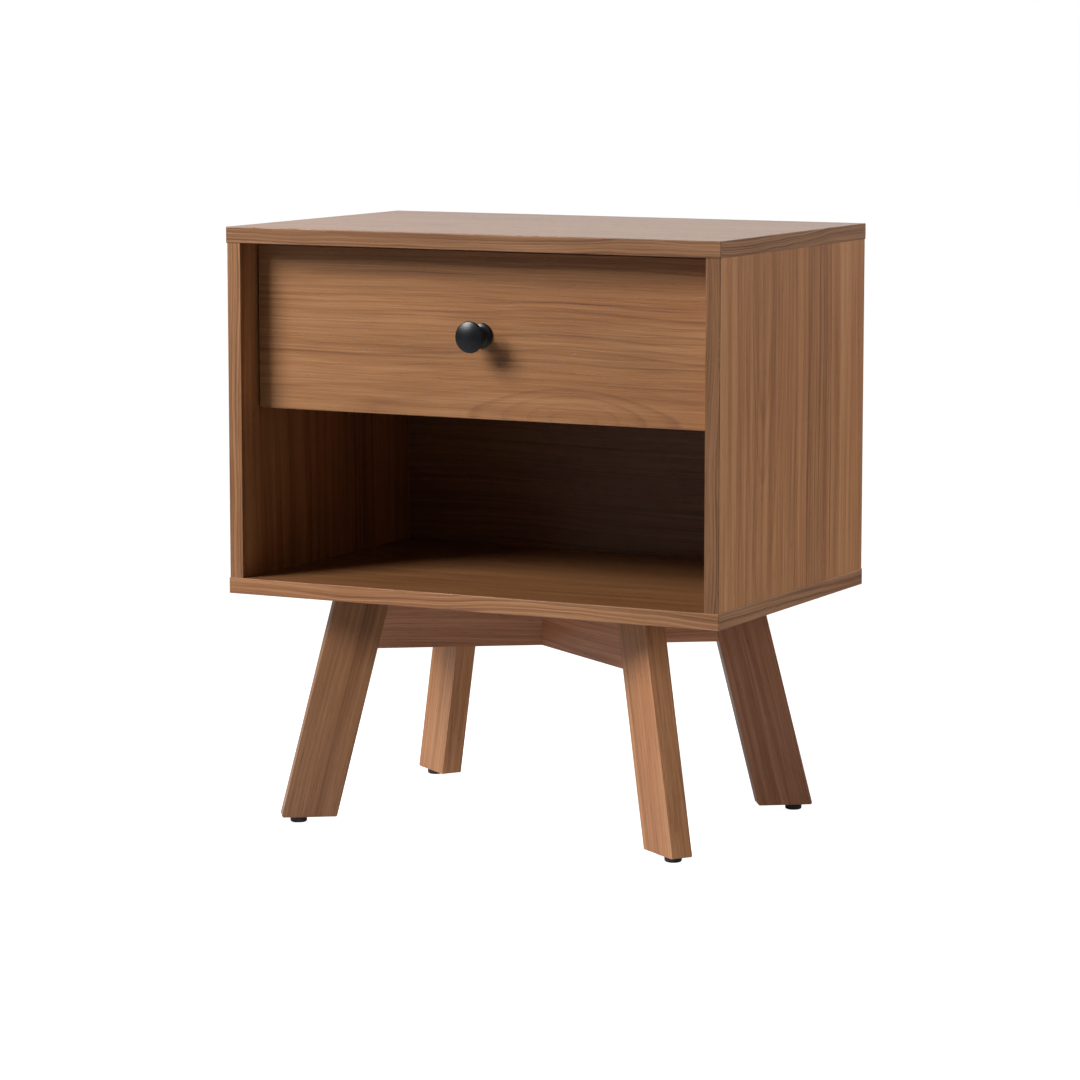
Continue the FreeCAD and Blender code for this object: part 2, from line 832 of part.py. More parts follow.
def placed(shape, sign):
    return shape if sign > 0 else mirrored(shape)


def make_cabinet_rail(sign):
    rail = channel(0.0, u_outer_tip, h_outer, y_slide_front, y_slide_rear, slide_sheet)
    rail = bored(rail, raceways(u_outer_row, h_outer_row, y_slide_front, y_slide_rear))
    return drilled(placed(rail, sign), slide_cabinet_screw_holes())


def make_middle_rail(sign):
    rail = channel(u_middle_web, u_middle_tip, h_middle, y_slide_front, y_slide_rear, slide_sheet)
    tools = raceways(u_outer_row, h_outer_row, y_slide_front, y_slide_rear)
    tools += raceways(u_inner_row, h_inner_row, y_slide_front, y_slide_rear)
    return placed(bored(rail, tools), sign)


def make_drawer_rail(sign):
    rail = channel(slide_thickness, u_drawer_flange, h_drawer_rail, y_slide_front, y_slide_rear,
                   slide_sheet)
    rail = bored(rail, raceways(u_inner_row, h_inner_row, y_slide_front, y_slide_rear))
    return drilled(placed(rail, sign), slide_drawer_screw_holes())


def ball_centres(u, row):
    pitch = cage_length / ball_row
    centres = []
    for side in (-1, 1):
        for index in range(ball_row):
            y = y_slide_front + cage_start + (index + 0.5) * pitch
            centres.append(vec(x_side_in - u, y, z_slide + side * row))
    return centres


def make_cage(sign, u_web, u_row, row):
    """Ball cage: a thin web with a strip above and below, pierced for the balls."""
    y0 = y_slide_front + cage_start
    y1 = y0 + cage_length
    half = row + cage_strip / 2.0
    reach = u_row + ball_diameter / 2.0 + 0.6
    web = slide_block(u_web, u_web + cage_sheet, y0, y1, -half, half)
    upper = slide_block(u_web, reach, y0, y1, half - cage_strip, half)
    lower = slide_block(u_web, reach, y0, y1, -half, cage_strip - half)
    cage = one(web.fuse([upper, lower]))
    holes = []
    for centre in ball_centres(u_row, row):
        start = centre - vec(0, 0, cage_strip)
        holes.append(rod(ball_diameter / 2.0 + 0.05, 2.0 * cage_strip, start, vec(0, 0, 1)))
    return placed(bored(cage, holes), sign)


def make_balls(sign, u_row, row):
    centres = ball_centres(u_row, row)
    return [placed(Part.makeSphere(ball_diameter / 2.0, centre), sign) for centre in centres]


# ---- Screws and dowels of the cabinet and drawer ------------------------------------------------
def make_slide_cabinet_screws():
    return [flush_screw(place, vec(sign, 0, 0), small_screw_diameter, small_screw_head,
                        slide_cabinet_screw_length)
            for sign, place in slide_cabinet_screw_places()]


def make_slide_drawer_screws():
    return [flush_screw(place, vec(-sign, 0, 0), small_screw_diameter, small_screw_head,
                        slide_drawer_screw_length)
            for sign, place in slide_drawer_screw_places()]


def make_box_screws():
    return [flush_screw(place, vec(-sign, 0, 0), small_screw_diameter, small_screw_head, box_screw_length)
            for sign, place in box_screw_places()]


def make_front_screws():
    return [domed_screw(place, vec(0, -1, 0), front_screw_diameter, front_screw_head, front_screw_length)
            for place in front_screw_places()]


def make_knob_screw():
    return domed_screw(knob_screw_start(), vec(0, -1, 0), knob_screw_diameter, knob_screw_head,
                       knob_screw_length())


def make_long_screws():
    return [flush_screw(place, vec(0, 0, 1), long_screw_diameter, long_screw_head, long_screw_length)
            for place in long_screw_places()]


def make_leg_dowels():
    pins = []
    for turn in (frame_turn, -frame_turn):
        for side in (-1, 1):
            pins += [dowel(middle, direction) for middle, direction in leg_dowels(turn, side)]
    return pins


# ---- Build --------------------------------------------------------------------------------------
def build_cabinet():
    cuts = carcass_cuts()
    save("top_panel", [make_top_panel(cuts)])
    save("top_panel_edge_strips", level_panel_strips(z_ceiling))
    save("bottom_panel", [make_bottom_panel(cuts)])
    save("bottom_panel_edge_strips", level_panel_strips(z_under))
    for sign, name in ((-1, "left"), (1, "right")):
        save(name + "_side_panel", [make_side_panel(sign, cuts)])
        save(name + "_side_edge_strip", [make_side_strip(sign)])
    save("back_panel", [make_back_panel()])
    save("back_panel_screws", [back_screw(place) for place in back_screw_places()])
    save("cabinet_dowels", [dowel(place, vec(0, 0, 1)) for place in carcass_dowel_places()])
    save("cam_locks", [cam_lock(sign, place) for sign, place in cam_places()])
    save("cam_bolts", [cam_bolt(place) for sign, place in cam_places()])
    save("bottom_panel_screws", make_long_screws())


def build_base():
    save("cross_rail_lower_lap", [make_cross_rail(frame_turn, True)])
    save("cross_rail_upper_lap", [make_cross_rail(-frame_turn, False)])
    save("leg_front_left", [make_leg(frame_turn, -1)])
    save("leg_back_right", [make_leg(frame_turn, 1)])
    save("leg_front_right", [make_leg(-frame_turn, 1)])
    save("leg_back_left", [make_leg(-frame_turn, -1)])
    save("leg_dowels", make_leg_dowels())
    save("base_screws", make_base_screws())
    save("base_screw_inserts", make_inserts())
    save("foot_glides", make_glides())
    save("foot_glide_nails", make_glide_nails())


def build_drawer():
    save("drawer_front", [make_drawer_front()])
    save("drawer_front_edge_strips", make_drawer_front_strips())
    save("drawer_box_front", [make_box_cross(y_box_front)])
    save("drawer_box_back", [make_box_cross(y_box_rear - box_board)])
    save("drawer_box_left_side", [make_box_side(-1)])
    save("drawer_box_right_side", [make_box_side(1)])
    save("drawer_bottom", [make_box_bottom()])
    save("drawer_box_screws", make_box_screws())
    save("drawer_front_screws", make_front_screws())
    save("drawer_knob", [make_knob()])
    save("drawer_knob_screw", [make_knob_screw()])


def build_slides():
    for sign, name in ((-1, "left"), (1, "right")):
        save(name + "_slide_cabinet_rail", [make_cabinet_rail(sign)])
        outer_cage = make_cage(sign, slide_sheet + cage_web_gap, u_outer_row, h_outer_row)
        save(name + "_slide_outer_cage", [outer_cage])
        save(name + "_slide_outer_balls", make_balls(sign, u_outer_row, h_outer_row))
        save(name + "_slide_middle_rail", [make_middle_rail(sign)])
        save(name + "_slide_inner_cage", [make_cage(sign, u_inner_cage, u_inner_row, h_inner_row)])
        save(name + "_slide_inner_balls", make_balls(sign, u_inner_row, h_inner_row))
        save(name + "_slide_drawer_rail", [make_drawer_rail(sign)])
    save("slide_cabinet_screws", make_slide_cabinet_screws())
    save("slide_drawer_screws", make_slide_drawer_screws())


os.makedirs("parts", exist_ok=True)
build_cabinet()
build_base()
build_drawer()
build_slides()
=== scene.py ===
import json
import math

import bmesh
import bpy
from bpy.props import FloatProperty, FloatVectorProperty, PointerProperty
from mathutils import Matrix, Vector


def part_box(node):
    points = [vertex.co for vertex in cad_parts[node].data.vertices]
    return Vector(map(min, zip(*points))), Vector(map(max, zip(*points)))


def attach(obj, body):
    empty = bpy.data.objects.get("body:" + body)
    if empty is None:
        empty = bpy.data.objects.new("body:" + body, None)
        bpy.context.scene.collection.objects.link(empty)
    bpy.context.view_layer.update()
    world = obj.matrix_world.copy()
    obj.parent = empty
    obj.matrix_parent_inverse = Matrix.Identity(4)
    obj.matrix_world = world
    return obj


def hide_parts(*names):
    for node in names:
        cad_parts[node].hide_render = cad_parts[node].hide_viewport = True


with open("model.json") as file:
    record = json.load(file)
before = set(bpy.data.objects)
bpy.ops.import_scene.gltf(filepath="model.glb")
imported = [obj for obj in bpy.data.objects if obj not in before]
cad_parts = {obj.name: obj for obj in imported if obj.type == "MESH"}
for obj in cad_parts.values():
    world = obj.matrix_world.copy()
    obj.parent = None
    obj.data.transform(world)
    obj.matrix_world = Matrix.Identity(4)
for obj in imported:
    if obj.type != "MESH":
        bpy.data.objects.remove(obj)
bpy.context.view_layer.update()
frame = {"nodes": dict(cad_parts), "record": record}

bl_info = {
    "name": "Nightstand finishes",
    "version": (1, 0, 0),
    "blender": (4, 5, 0),
    "location": "3D View > Sidebar > Nightstand",
    "description": "Dresses the packed nightstand in veneer, solid wood, lacquered metal and plastic",
    "category": "Object",
}

MM = 0.001
NEARLY_ZERO = 1e-6              # lengths below this count as nothing, in metres
WHITE = (1.0, 1.0, 1.0, 1.0)
NO_TINT = (1.0, 1.0, 1.0)

# Rounded edges: how far the veneer strips are rounded, and the steps across any rounding.
STRIP_ROUNDING = 0.7 * MM
ROUNDING_STEPS = 3

# How far a leg goes outward for how far it goes down, in millimetres.
LEG_SPREAD = 57.0
LEG_DROP = 227.0

# Turned knob: radii of its foot and neck, the rounding of the foot's edge and of the head's rim,
# the height of the rim, and the steps across the crown.
KNOB_FOOT = 12.5 * MM
KNOB_NECK = 6.5 * MM
KNOB_ROLL = 1.6 * MM
KNOB_RIM_HEIGHT = 24.2 * MM
CROWN_STEPS = 12

# Moulded glides.
GLIDE_RADIUS = 8.5 * MM
GLIDE_ROUNDING = 2.0 * MM

# Finishes: relief in metres, how strongly the lacquer bends light, and the plywood's layers.
WOOD_RELIEF = 0.00010
METAL_RELIEF = 0.00003
PLASTIC_RELIEF = 0.00006
LACQUER_IOR = 1.46
PLY_LAYER = 0.00133

# Studio, in metres: where each light stands from the point it is aimed at, how far off, how wide.
LIGHT_AIM = (0.0, 0.0, 0.35)
KEY_FROM, KEY_DISTANCE, KEY_SIZE = (-0.534, -0.629, 0.566), 3.0, 1.15
SIDE_FROM, SIDE_DISTANCE, SIDE_SIZE = (0.93, 0.3, 0.25), 2.6, 1.6
SKY_BRIGHT_SIDE = (-0.5, 1.0, 0.1)
SKY_FADE = (0.35, 0.92)
FLOOR_HALF_WIDTH = 12.0
FLOOR_FADE = (0.45, 1.1)
SENSOR_WIDTH = 36.0             # millimetres


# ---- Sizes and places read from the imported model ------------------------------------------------
def middle(node):
    low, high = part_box(node)
    return (Vector(low) + Vector(high)) / 2.0


def rail_angle():
    """Angle between a crossing rail and the cabinet's width, from where a leg stands."""
    leg = middle("leg_back_right")
    return math.atan2(leg.y, leg.x)


# ---- Shader building ----------------------------------------------------------------------------
class Number:
    """A value that varies over a surface and takes part in ordinary sums."""

    def __init__(self, nodes, socket):
        self.nodes = nodes
        self.socket = socket

    def _sum(self, operation, other, swapped=False):
        pair = (other, self) if swapped else (self, other)
        return self.nodes.node("ShaderNodeMath", {"operation": operation}, {0: pair[0], 1: pair[1]})

    def __add__(self, other):
        return self._sum("ADD", other)

    __radd__ = __add__

    def __sub__(self, other):
        return self._sum("SUBTRACT", other)

    def __rsub__(self, other):
        return self._sum("SUBTRACT", other, swapped=True)

    def __mul__(self, other):
        return self._sum("MULTIPLY", other)

    __rmul__ = __mul__

    def __truediv__(self, other):
        return self._sum("DIVIDE", other)

    def __rtruediv__(self, other):
        return self._sum("DIVIDE", other, swapped=True)

    def __pow__(self, other):
        return self._sum("POWER", other)

    def __rpow__(self, other):
        return self._sum("POWER", other, swapped=True)

    def __abs__(self):
        return self._sum("ABSOLUTE", 0.0)

    def part(self):
        return self._sum("FRACT", 0.0)

    def at_most(self, other):
        return self._sum("MINIMUM", other)

    def at_least(self, other):
        return self._sum("MAXIMUM", other)

    def rise(self, start, end):
        """0 before start, 1 after end, smooth between them."""
        inputs = {"Value": self, "From Min": start, "From Max": end}
        return self.nodes.node("ShaderNodeMapRange", {"interpolation_type": "SMOOTHSTEP"}, inputs)


class Nodes:
    """The nodes of a material or of the sky."""

    def __init__(self, owner, output_kind):
        owner.use_nodes = True
        self.tree = owner.node_tree
        self.tree.nodes.clear()
        self.output = self.tree.nodes.new(output_kind)

    def node(self, kind, settings=None, inputs=None, output=0, stops=None):
        made = self.tree.nodes.new(kind)
        for key, value in (settings or {}).items():
            setattr(made, key, value)
        if stops:
            self._set_stops(made.color_ramp, stops)
        for key, value in (inputs or {}).items():
            self._feed(made.inputs[key], value)
        return Number(self, made.outputs[output])

    @staticmethod
    def _set_stops(ramp, stops):
        while len(ramp.elements) < len(stops):
            ramp.elements.new(1.0)
        for element, (place, colour) in zip(ramp.elements, stops):
            element.position = place
            element.color = tuple(colour) + (1.0,) if len(colour) == 3 else colour

    def _feed(self, socket, value):
        if isinstance(value, Number):
            self.tree.links.new(value.socket, socket)
        else:
            socket.default_value = value

    def show(self, shader):
        self.tree.links.new(shader.socket, self.output.inputs["Surface"])


class Finish(Nodes):
    """One material: a principled surface and the patterns that feed it."""

    def __init__(self, name):
        self.material = bpy.data.materials.new(name)
        super().__init__(self.material, "ShaderNodeOutputMaterial")
        self.shader = self.node("ShaderNodeBsdfPrincipled").socket.node
        self.show(self.surface())

    def set(self, **values):
        """Uniform values go straight on the shader's sockets; varying ones are linked."""
        for key, value in values.items():
            self._feed(self.shader.inputs[key.replace("_", " ")], value)

    def surface(self):
        return Number(self, self.shader.outputs[0])

    def place(self, origin, turn):
        """Coordinates in metres of a board's own frame: along, across and through it."""
        local = self.node("ShaderNodeTexCoord", output="Object")
        inputs = {"Vector": local, "Location": origin, "Rotation": turn}
        moved = self.node("ShaderNodeMapping", {"vector_type": "TEXTURE"}, inputs)
        split = self.node("ShaderNodeSeparateXYZ", None, {0: moved}).socket.node
        return [Number(self, output) for output in split.outputs]

    def vector(self, x, y, z):
        return self.node("ShaderNodeCombineXYZ", inputs={0: x, 1: y, 2: z})

    def noise(self, x, y, z, detail=2.0, rough=0.5):
        inputs = {"Vector": self.vector(x, y, z), "Scale": 1.0, "Detail": detail, "Roughness": rough}
        return self.node("ShaderNodeTexNoise", None, inputs)

    def blend(self, share, first, second, kind="MIX"):
        """Mixes two colours, through the Mix node's own sockets for them: 6, 7 and output 2."""
        settings = {"data_type": "RGBA", "blend_type": kind}
        inputs = {0: share, 6: self.colour(first), 7: self.colour(second)}
        return self.node("ShaderNodeMix", settings, inputs, output=2)

    @staticmethod
    def colour(value):
        return value if isinstance(value, Number) else tuple(value)[:3] + (1.0,)

    def ramp(self, share, stops):
        return self.node("ShaderNodeValToRGB", None, {"Fac": share}, stops=stops)

    def bump(self, height, depth):
        """Surface relief, with depth in metres."""
        return self.node("ShaderNodeBump", None, {"Height": height, "Distance": depth, "Strength": 1.0})


def shade(colour, factor, tint=NO_TINT):
    return tuple(min(1.0, channel * factor * share) for channel, share in zip(colour[:3], tint))


# ---- Finishes -----------------------------------------------------------------------------------
def wood(name, board):
    """Lacquered walnut. board says how the grain lies in one board or leaf of veneer."""
    tones = bpy.context.scene.nightstand_wood
    finish = Finish(name)
    along, across, through = finish.place(board["origin"], board["turn"])
    seed = board.get("seed", 0.0)

    sway = finish.noise(along * 2.4 + seed, across * 3.0, through * 3.0, 1.0) - 0.5
    ripple = finish.noise(along * 9.0, across * 26.0 + seed, through * 26.0, 2.0) - 0.5
    level = across + sway * board.get("sway", 0.03) + ripple * board.get("ripple", 0.004)

    reach = board.get("heart_reach", 1.0)
    run = (along - board.get("heart_along", 0.0)) * board.get("heart_slope", 0.1)
    run = run / (run * run / reach ** 2 + 1.0) ** 0.5
    rise = level - board.get("heart_across", 0.3)
    deep = through - board.get("heart_depth", 0.01)
    radius = (run * run + rise * rise + deep * deep) ** 0.5
    wander = finish.noise(radius * 60.0, seed + 3.0, 0.0, 2.0) * 1.6
    rings = radius / board.get("ring", 0.0055) + wander
    growth = [(0.0, (0.0,) * 3), (0.58, (0.14,) * 3), (0.88, (1.0,) * 3), (1.0, (0.0,) * 3)]
    late = finish.ramp(rings.part(), growth)
    weight = finish.noise(radius * 95.0, seed + 11.0, along * 1.3, 1.0).rise(0.38, 0.68)
    figure = late * (weight * 0.8 + 0.2) * board.get("figure", 1.0)

    hair = finish.noise(along * 20.0, level * 1500.0, through * 1500.0 + seed, 2.0, 0.6) - 0.5
    fibre = finish.noise(along * 6.0 + seed, level * 700.0, through * 700.0, 3.0, 0.65) - 0.5
    fineness = 85.0 * board.get("fineness", 1.0)
    streak = finish.noise(along * 1.5 + seed, level * fineness, through * fineness, 4.0, 0.66) - 0.5
    cloud = finish.noise(along * 3.2, across * 9.0, through * 9.0 + seed, 2.0) - 0.5
    flame = finish.noise(along * 14.0 + seed, level * 60.0, through * 60.0, 2.0) - 0.5

    tone = (
        0.42
        + streak * board.get("streaks", 0.8)
        + fibre * 0.9
        + hair * 0.34
        + cloud * board.get("clouds", 0.3)
        + flame * 0.12
        + figure * 0.26
    )
    for place, width, strength in board.get("lines", ()):
        tone = tone + (1.0 - abs(level - place).rise(0.0, width)) * (fibre * 0.9 + 1.0) * strength

    pale, body, dark, vein = (
        shade(colour, board.get("brightness", 1.0), board.get("tint", NO_TINT))
        for colour in (tones.pale, tones.body, tones.dark, tones.vein)
    )
    colour = finish.ramp(tone, [(0.12, pale), (0.47, body), (0.80, dark), (1.0, vein)])
    warm = finish.noise(along * 1.3 + seed, level * 21.0, through * 21.0, 1.0).rise(0.35, 0.7)
    colour = finish.blend(warm * 0.35, colour, finish.blend(1.0, colour, (1.06, 0.93, 0.86), "MULTIPLY"))

    pores = finish.noise(along * 75.0, level * 1350.0, through * 1350.0 + seed, 1.0)
    open_pore = pores.rise(0.64, 0.72) * (streak + fibre + 0.75).at_most(1.0).at_least(0.0)
    colour = finish.blend(open_pore * 0.5, colour, shade(vein, 0.9))

    rough = tones.roughness + fibre * 0.16 + open_pore * 0.2 + figure * 0.05
    height = fibre * 0.35 + hair * 0.25 - open_pore - figure * 0.1
    finish.set(Base_Color=colour, Roughness=rough, Normal=finish.bump(height, WOOD_RELIEF))
    finish.set(Specular_IOR_Level=tones.gloss, IOR=LACQUER_IOR)
    return finish.material


def metal(name, colour, roughness, brushed=0.0, metallic=1.0, gloss=0.5):
    """Plated or lacquered metal with fine uneven sheen; brushed gives drawn lines along the depth."""
    finish = Finish(name)
    x, y, z = finish.place((0.0, 0.0, 0.0), (0.0, 0.0, 0.0))
    lines = finish.noise(x * 1800.0, y * 14.0, z * 1800.0, 2.0) - 0.5
    cloud = finish.noise(x * 60.0, y * 60.0, z * 60.0, 3.0) - 0.5
    grain = finish.noise(x * 2400.0, y * 2400.0, z * 2400.0, 1.0) - 0.5
    rough = cloud * 0.16 + lines * brushed + grain * 0.08 + roughness
    share = (cloud * 1.2 + lines * brushed + 0.5).at_least(0.0).at_most(1.0)
    tone = finish.blend(share, shade(colour, 0.82), shade(colour, 1.12))
    finish.set(Base_Color=tone, Roughness=rough, Metallic=metallic, Specular_IOR_Level=gloss)
    finish.set(Normal=finish.bump(grain * 0.5 + lines * brushed, METAL_RELIEF))
    return finish.material


def plastic(name, colour, roughness):
    """Moulded plastic with a fine spark-eroded texture."""
    finish = Finish(name)
    x, y, z = finish.place((0.0, 0.0, 0.0), (0.0, 0.0, 0.0))
    grain = finish.noise(x * 1500.0, y * 1500.0, z * 1500.0, 2.0)
    scuff = finish.noise(x * 90.0, y * 90.0, z * 90.0, 3.0).rise(0.5, 0.75)
    tone = finish.blend(scuff * 0.5, colour, shade(colour, 1.9))
    finish.set(Base_Color=tone, Roughness=roughness + scuff * 0.12)
    finish.set(Normal=finish.bump(grain, PLASTIC_RELIEF))
    return finish.material


def plywood(name, origin, turn, layer_depth=PLY_LAYER):
    """Birch plywood: pale flat-sawn faces and layered edges."""
    finish = Finish(name)
    along, across, through = finish.place(origin, turn)
    layer = (through / (2.0 * layer_depth) + 0.25).part()
    dark_ply = (abs(layer - 0.5)).rise(0.22, 0.28)
    figure = finish.noise(along * 3.0, across * 46.0, through * 46.0, 3.0, 0.6) - 0.5
    fibre = finish.noise(along * 30.0, across * 1100.0, through * 300.0, 2.0) - 0.5
    fleck = finish.noise(along * 90.0, across * 420.0, 0.0, 1.0).rise(0.66, 0.74)
    tone = (figure * 1.2 + fibre * 0.5 + 0.5).at_least(0.0).at_most(1.0)
    birch = [(0.1, (0.62, 0.44, 0.27)), (0.55, (0.52, 0.345, 0.195)), (1.0, (0.40, 0.25, 0.13))]
    colour = finish.ramp(tone, birch)
    colour = finish.blend(dark_ply * 0.5, colour, (0.30, 0.175, 0.085))
    colour = finish.blend(fleck * 0.25, colour, (0.33, 0.19, 0.1))
    finish.set(Base_Color=colour, Roughness=fibre * 0.2 + 0.55)
    finish.set(Normal=finish.bump(fibre - fleck * 0.3, WOOD_RELIEF))
    return finish.material


# ---- Grain directions ---------------------------------------------------------------------------
GRAIN_LEVEL = (0.0, 0.0, 0.0)                                # along the width, face up
GRAIN_FRONT = (math.pi / 2.0, 0.0, 0.0)                      # along the width, face to the front
GRAIN_UPRIGHT = (0.0, -math.pi / 2.0, 0.0)                   # up the side, face to the right


def turn_from(along, face):
    """Rotation whose first axis runs along the grain and whose third axis leaves the face."""
    first = Vector(along).normalized()
    third = Vector(face).normalized()
    second = third.cross(first)
    return tuple(Matrix((first, second, third)).transposed().to_euler())


# ---- Mesh building ------------------------------------------------------------------------------
def new_piece(name, mesh_maker, materials, body, replaced):
    """Makes a mesh object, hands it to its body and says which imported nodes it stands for."""
    mesh = bpy.data.meshes.new(name)
    work = bmesh.new()
    mesh_maker(work)
    bmesh.ops.recalc_face_normals(work, faces=work.faces)
    work.to_mesh(mesh)
    work.free()
    for material in materials:
        mesh.materials.append(material)
    piece = bpy.data.objects.new(name, mesh)
    bpy.context.scene.collection.objects.link(piece)
    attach(piece, body)
    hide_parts(*replaced)


def add_bar(work, low, high, eased, material=0):
    """A straight bar from corner to corner; eased lists the edges that are rounded."""
    low, high = Vector(low), Vector(high)
    size = high - low
    place = Matrix.Translation((low + high) / 2.0) @ Matrix.Diagonal((size.x, size.y, size.z, 1.0))
    made = bmesh.ops.create_cube(work, size=1.0, matrix=place)
    corners = set(made["verts"])
    faces = {face for corner in corners for face in corner.link_faces}
    for face in faces:
        face.material_index = material
    edges = {edge for corner in corners for edge in corner.link_edges}
    edges = [edge for edge in edges if edge_sides(edge, low, high) in eased]
    if edges:
        before = set(work.faces)
        bmesh.ops.bevel(work, geom=edges, offset=STRIP_ROUNDING, segments=ROUNDING_STEPS,
                        profile=0.5, affect="EDGES")
        for face in set(work.faces) - before:
            face.material_index = material


def edge_sides(edge, low, high):
    """The sides of the bar that an edge lies on, as letters such as 'xZ' for low x and high z."""
    sides = ""
    for index, letter in enumerate("xyz"):
        ends = [vertex.co[index] for vertex in edge.verts]
        if all(abs(end - low[index]) < NEARLY_ZERO for end in ends):
            sides += letter
        if all(abs(end - high[index]) < NEARLY_ZERO for end in ends):
            sides += letter.upper()
    return sides


def arc(centre_out, centre_up, radius, start, end, steps):
    """Points of an arc in a profile, angles in degrees from level outward."""
    points = []
    for step in range(steps + 1):
        angle = math.radians(start + (end - start) * step / steps)
        points.append((centre_out + radius * math.cos(angle), centre_up + radius * math.sin(angle)))
    return points


def add_lathe(work, profile, place, segments):
    """Turns a profile of (radius, height) points round its axis; place is a 4x4 matrix."""
    rings = []
    for radius, height in profile:
        if radius < NEARLY_ZERO:
            rings.append([work.verts.new(place @ Vector((0.0, 0.0, height)))])
            continue
        ring = []
        for step in range(segments):
            angle = 2.0 * math.pi * step / segments
            point = Vector((radius * math.cos(angle), radius * math.sin(angle), height))
            ring.append(work.verts.new(place @ point))
        rings.append(ring)
    for lower, upper in zip(rings, rings[1:]):
        for step in range(segments):
            after = (step + 1) % segments
            if len(lower) == 1:
                corners = [lower[0], upper[after], upper[step]]
            elif len(upper) == 1:
                corners = [lower[step], lower[after], upper[0]]
            else:
                corners = [lower[step], lower[after], upper[after], upper[step]]
            work.faces.new(corners).smooth = True


def round_over(node, width):
    """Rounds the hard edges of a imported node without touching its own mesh."""
    piece = frame["nodes"][node]
    weld = piece.modifiers.new("Weld", "WELD")
    weld.merge_threshold = 0.01 * MM
    flats = piece.modifiers.new("Flats", "DECIMATE")
    flats.decimate_type = "DISSOLVE"
    flats.angle_limit = math.radians(0.5)
    arris = piece.modifiers.new("Arris", "BEVEL")
    arris.width = width
    arris.segments = ROUNDING_STEPS
    arris.limit_method = "ANGLE"
    arris.angle_limit = math.radians(40.0)
    arris.use_clamp_overlap = True
    arris.harden_normals = True


def dress(node, material):
    """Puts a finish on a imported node."""
    mesh = frame["nodes"][node].data
    mesh.materials.clear()
    mesh.materials.append(material)


# ---- Boards: how the grain lies in each ---------------------------------------------------------
def top_board():
    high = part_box("top_panel")[1]
    return {"origin": (0.0, 0.0, high[2]), "turn": GRAIN_LEVEL, "heart_across": -0.05,
            "heart_along": -0.32, "heart_slope": 0.09, "heart_depth": 0.01, "ring": 0.0075,
            "seed": 4.0, "figure": 0.8}


def bottom_board():
    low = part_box("bottom_panel")[0]
    # The bottom panel's brightness of 0.74 is painted shade: it darkens the whole panel so that the open
    # shelf's floor, in the recess under the drawer, looks shaded.
    return {"origin": (0.0, 0.0, low[2]), "turn": GRAIN_LEVEL, "heart_across": 0.06, "heart_along": 0.2,
            "heart_slope": 0.1, "ring": 0.007, "seed": 9.0, "brightness": 0.74}


def back_board():
    low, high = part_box("back_panel")
    # The back panel's brightness of 0.66 is painted shade: it darkens the whole panel to stand in for the
    # shade at the back of the open shelf.
    return {"origin": (0.0, high[1], low[2]), "turn": turn_from((1, 0, 0), (0, 1, 0)),
            "heart_across": 0.14, "heart_slope": 0.07, "heart_along": 0.1, "ring": 0.008,
            "seed": 6.0, "brightness": 0.66}


def drawer_board():
    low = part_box("drawer_front")[0]
    return {"origin": (0.0, low[1], low[2]), "turn": GRAIN_FRONT, "heart_across": 0.003, "heart_along": 0.1,
            "heart_slope": 0.34, "heart_depth": 0.002, "heart_reach": 0.045, "ring": 0.0074, "seed": 1.0,
            "sway": 0.012, "ripple": 0.0045, "figure": 0.95, "streaks": 0.9, "brightness": 0.985,
            "lines": ((0.0565, 0.0019, 0.26), (0.0815, 0.0014, 0.16), (0.087, 0.0012, 0.12),
                      (0.115, 0.0015, 0.15), (0.073, 0.0013, 0.13))}


def side_board(sign):
    low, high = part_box("right_side_panel")
    face = high[0] if sign > 0 else -high[0]
    turn = turn_from((0, 0, 1), (sign, 0, 0))
    across = -sign
    return {"origin": (face, 0.0, low[2]), "turn": turn, "heart_across": -0.073 * across, "heart_along": 0.40,
            "heart_slope": 0.11, "heart_depth": 0.003, "ring": 0.0075, "seed": 2.0 + sign, "sway": 0.018,
            "ripple": 0.003, "streaks": 1.35, "figure": 0.6, "brightness": 1.1, "tint": (1.06, 1.025, 0.98),
            "lines": ((0.088 * across, 0.0019, 0.45), (0.052 * across, 0.0014, 0.3),
                      (0.061 * across, 0.0012, 0.3), (0.07 * across, 0.0012, 0.26),
                      (0.034 * across, 0.0022, 0.26), (0.055 * across, 0.034, 0.12),
                      (0.13 * across, 0.034, -0.13), (-0.15 * across, 0.028, -0.14))}


def strip_board(origin, along, face, seed, brightness=0.84, tint=(1.0, 1.02, 1.1)):
    return {"origin": origin, "turn": turn_from(along, face), "heart_across": 0.09, "heart_slope": 0.02,
            "ring": 0.0023, "seed": seed, "sway": 0.03, "ripple": 0.008, "streaks": 2.1, "clouds": 0.7,
            "figure": 1.6, "fineness": 3.6, "brightness": brightness, "tint": tint}


def leg_board(node, sign_x, sign_y, seed, brightness, tint):
    """Grain runs down the leg; the face is the flat of the board."""
    angle = math.atan2(abs(middle(node).y), abs(middle(node).x))
    outward = Vector((math.cos(angle) * sign_x, math.sin(angle) * sign_y, 0.0))
    down = (outward * LEG_SPREAD + Vector((0.0, 0.0, -LEG_DROP))).normalized()
    face = Vector((-outward.y, outward.x, 0.0))
    return {"origin": tuple(middle(node)), "turn": turn_from(down, face), "heart_across": 0.12,
            "heart_slope": 0.03, "heart_depth": 0.05, "ring": 0.006, "seed": seed, "sway": 0.02,
            "ripple": 0.002, "streaks": 1.15, "clouds": 0.3, "figure": 0.55,
            "brightness": brightness, "tint": tint}


